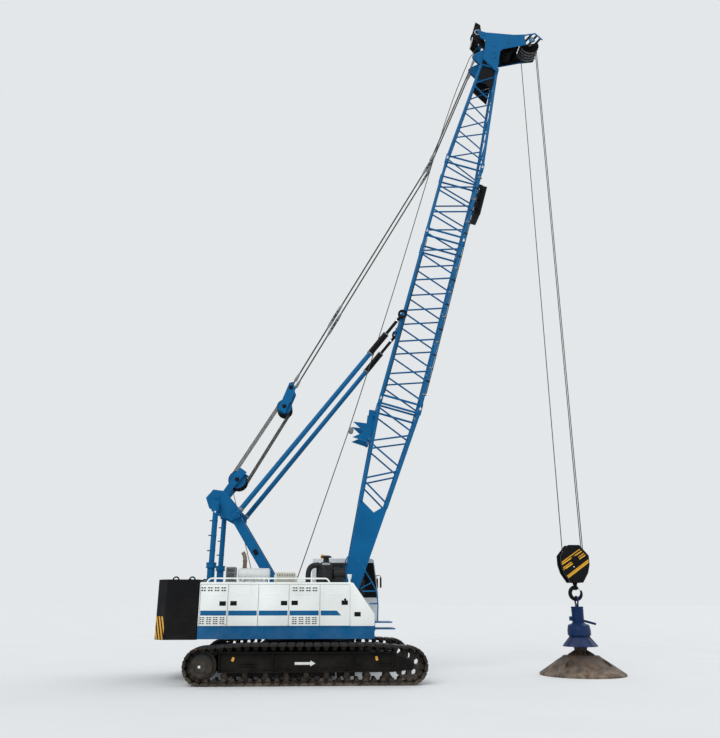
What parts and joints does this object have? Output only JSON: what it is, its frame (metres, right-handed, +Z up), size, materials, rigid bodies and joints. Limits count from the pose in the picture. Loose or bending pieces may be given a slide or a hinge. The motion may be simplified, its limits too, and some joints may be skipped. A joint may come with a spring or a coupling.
{
  "type": "dynamic compaction machine",
  "caption": "Crawler-mounted dynamic compaction machine: lattice boom on a slewing upperworks, with hoist falls, hook block, release device and drop hammer.",
  "frame": {"origin": "centre of the whole footprint, on the ground", "axes": "+X forward to the hammer, +Y to the machine's left, +Z up; the slew axis stands 2.315 m behind the origin"},
  "size_m": [11.9714, 4.52, 20.8914],
  "materials": {
    "blue_paint": "satin",
    "white_paint": "satin",
    "white_enamel": "satin",
    "black_paint": "satin",
    "track_steel": "worn",
    "glass": "gloss",
    "seat_vinyl": "matt",
    "cast_block": "rough",
    "grey_paint": "satin",
    "heat_silver": "satin",
    "rusty_pipe": "rusted",
    "rope_steel": "greased",
    "rod_chrome": "bright",
    "hammer_iron": "scuffed"
  },
  "bodies": {
    "undercarriage": {"carbody": "black_paint", "slew_ring": "track_steel", "side_frames": "black_paint", "track_left": "track_steel", "track_right": "track_steel", "drive_wheels": "track_steel", "guide_wheels": "track_steel", "track_rollers": "track_steel"},
    "boom": {"boom_butt": "blue_paint", "boom_insert_long": "blue_paint", "boom_insert_short": "blue_paint", "boom_tip": "blue_paint", "boom_head": "blue_paint", "guide_frame": "blue_paint", "boom_fender": "black_paint", "backstop_lugs": "blue_paint", "rear_brackets": "blue_paint"},
    "head_sheaves": {"head_sheaves": "grey_paint"},
    "falls": {"hoist_falls": "rope_steel"},
    "hook_block": {"hook_block": "black_paint"},
    "hook_load": {"hook": "black_paint", "release_device": "blue_paint", "hammer": "hammer_iron"},
    "stay_swing": {"luffing_block": "blue_paint"},
    "stay_reach": {"spreader": "blue_paint", "pendants": "rope_steel"},
    "backstop_tubes": {"backstop_tubes": "blue_paint"},
    "backstop_rods": {"backstop_rods": "rod_chrome"},
    "door_left_1": {"door_left_1": "white_paint"},
    "door_left_2": {"door_left_2": "white_paint"},
    "door_left_3": {"door_left_3": "white_paint"},
    "door_right_1": {"door_right_1": "white_paint"},
    "door_right_2": {"door_right_2": "white_paint"},
    "door_right_3": {"door_right_3": "white_paint"},
    "door_right_4": {"door_right_4": "white_paint"},
    "door_right_5": {"door_right_5": "white_paint"},
    "cab_door": {"cab_door": "white_enamel", "cab_door_glass": "glass"},
    "upperworks": {"air_cleaner": "black_paint", "cab_glass": "glass", "cab_seat": "seat_vinyl", "cab_shell": "white_enamel", "counterweight": "black_paint", "deck_frame": "blue_paint", "deck_sides": "blue_paint", "engine_block": "cast_block", "engine_hood": "white_paint", "exhaust_stack": "rusty_pipe", "front_steps": "blue_paint", "gantry_front_legs": "blue_paint", "gantry_head": "blue_paint", "gantry_rear_legs": "blue_paint", "housing_left": "white_paint", "housing_right": "white_paint", "muffler": "heat_silver", "roof_cooler": "grey_paint", "roof_rails": "white_paint", "vent_box": "white_paint", "winches": "grey_paint"}
  },
  "joints": [
    {"name": "slew", "type": "hinge", "parent": "undercarriage", "child": "upperworks", "pos_m": [-2.315, 0, 1.02], "axis": [0, 0, 1], "continuous": true},
    {"name": "boom_luff", "type": "hinge", "parent": "upperworks", "child": "boom", "pos_m": [-1.315, 0, 1.8], "axis": [0, 1, 0], "range_deg": [-2.4, 14.6]},
    {"name": "head_sheave_turn", "type": "hinge", "parent": "boom", "child": "head_sheaves", "pos_m": [4.88638, 0, 20.05876], "axis": [0, 1, 0], "range_deg": [-14.94, 2.74]},
    {"name": "fall_take_up", "type": "slide", "parent": "head_sheaves", "child": "falls", "axis": [0, 0, 1], "range_m": [-0.4041, 2.2034]},
    {"name": "hoist", "type": "slide", "parent": "falls", "child": "hook_block", "axis": [0, 0, 1], "range_m": [0, 12.5], "deforming": ["hoist_falls"]},
    {"name": "hook_swivel", "type": "hinge", "parent": "hook_block", "child": "hook_load", "pos_m": [4.88638, 0, 2.31], "axis": [0, 0, 1], "continuous": true},
    {"name": "stay_swing", "type": "hinge", "parent": "upperworks", "child": "stay_swing", "pos_m": [-4.765, 0, 4.45], "axis": [0, 1, 0], "range_deg": [-2.79, 15.2]},
    {"name": "stay_reach", "type": "slide", "parent": "stay_swing", "child": "stay_reach", "axis": [0.4588, 0, 0.8886], "range_m": [-0.2063, 1.125]},
    {"name": "backstop_swing", "type": "hinge", "parent": "upperworks", "child": "backstop_tubes", "pos_m": [-4.235, 0, 3.97], "axis": [0, 1, 0], "range_deg": [-2.58, 14.09]},
    {"name": "backstop_reach", "type": "slide", "parent": "backstop_tubes", "child": "backstop_rods", "axis": [0.6133, 0, 0.7898], "range_m": [-0.172, 0.938]},
    {"name": "door_right_1_hinge", "type": "hinge", "parent": "upperworks", "child": "door_right_1", "pos_m": [-4.909, -1.56, 1.7], "axis": [0, 0, -1], "range_deg": [0, 90]},
    {"name": "door_right_2_hinge", "type": "hinge", "parent": "upperworks", "child": "door_right_2", "pos_m": [-3.524, -1.56, 1.7], "axis": [0, 0, 1], "range_deg": [0, 90]},
    {"name": "door_right_3_hinge", "type": "hinge", "parent": "upperworks", "child": "door_right_3", "pos_m": [-3.512, -1.56, 1.7], "axis": [0, 0, -1], "range_deg": [0, 90]},
    {"name": "door_right_4_hinge", "type": "hinge", "parent": "upperworks", "child": "door_right_4", "pos_m": [-2.032, -1.56, 1.7], "axis": [0, 0, 1], "range_deg": [0, 90]},
    {"name": "door_right_5_hinge", "type": "hinge", "parent": "upperworks", "child": "door_right_5", "pos_m": [-2.02, -1.56, 1.7], "axis": [0, 0, -1], "range_deg": [0, 90]},
    {"name": "door_left_1_hinge", "type": "hinge", "parent": "upperworks", "child": "door_left_1", "pos_m": [-4.909, 1.56, 1.7], "axis": [0, 0, 1], "range_deg": [0, 90]},
    {"name": "door_left_2_hinge", "type": "hinge", "parent": "upperworks", "child": "door_left_2", "pos_m": [-3.524, 1.56, 1.7], "axis": [0, 0, -1], "range_deg": [0, 90]},
    {"name": "door_left_3_hinge", "type": "hinge", "parent": "upperworks", "child": "door_left_3", "pos_m": [-3.512, 1.56, 1.7], "axis": [0, 0, 1], "range_deg": [0, 90]},
    {"name": "cab_door_hinge", "type": "hinge", "parent": "upperworks", "child": "cab_door", "pos_m": [-1.892, 1.614, 2], "axis": [0, 0, 1], "range_deg": [0, 100]}
  ],
  "couplings": [
    {"joint": "head_sheave_turn", "follows": "boom_luff", "ratio": -1},
    {"joint": "fall_take_up", "follows": "boom_luff", "m_per_rad": 8.45},
    {"joint": "stay_swing", "follows": "boom_luff", "ratio": 1.0172},
    {"joint": "stay_reach", "follows": "boom_luff", "m_per_rad": 4.3146},
    {"joint": "backstop_swing", "follows": "boom_luff", "ratio": 0.9429},
    {"joint": "backstop_reach", "follows": "boom_luff", "m_per_rad": 3.5973}
  ]
}
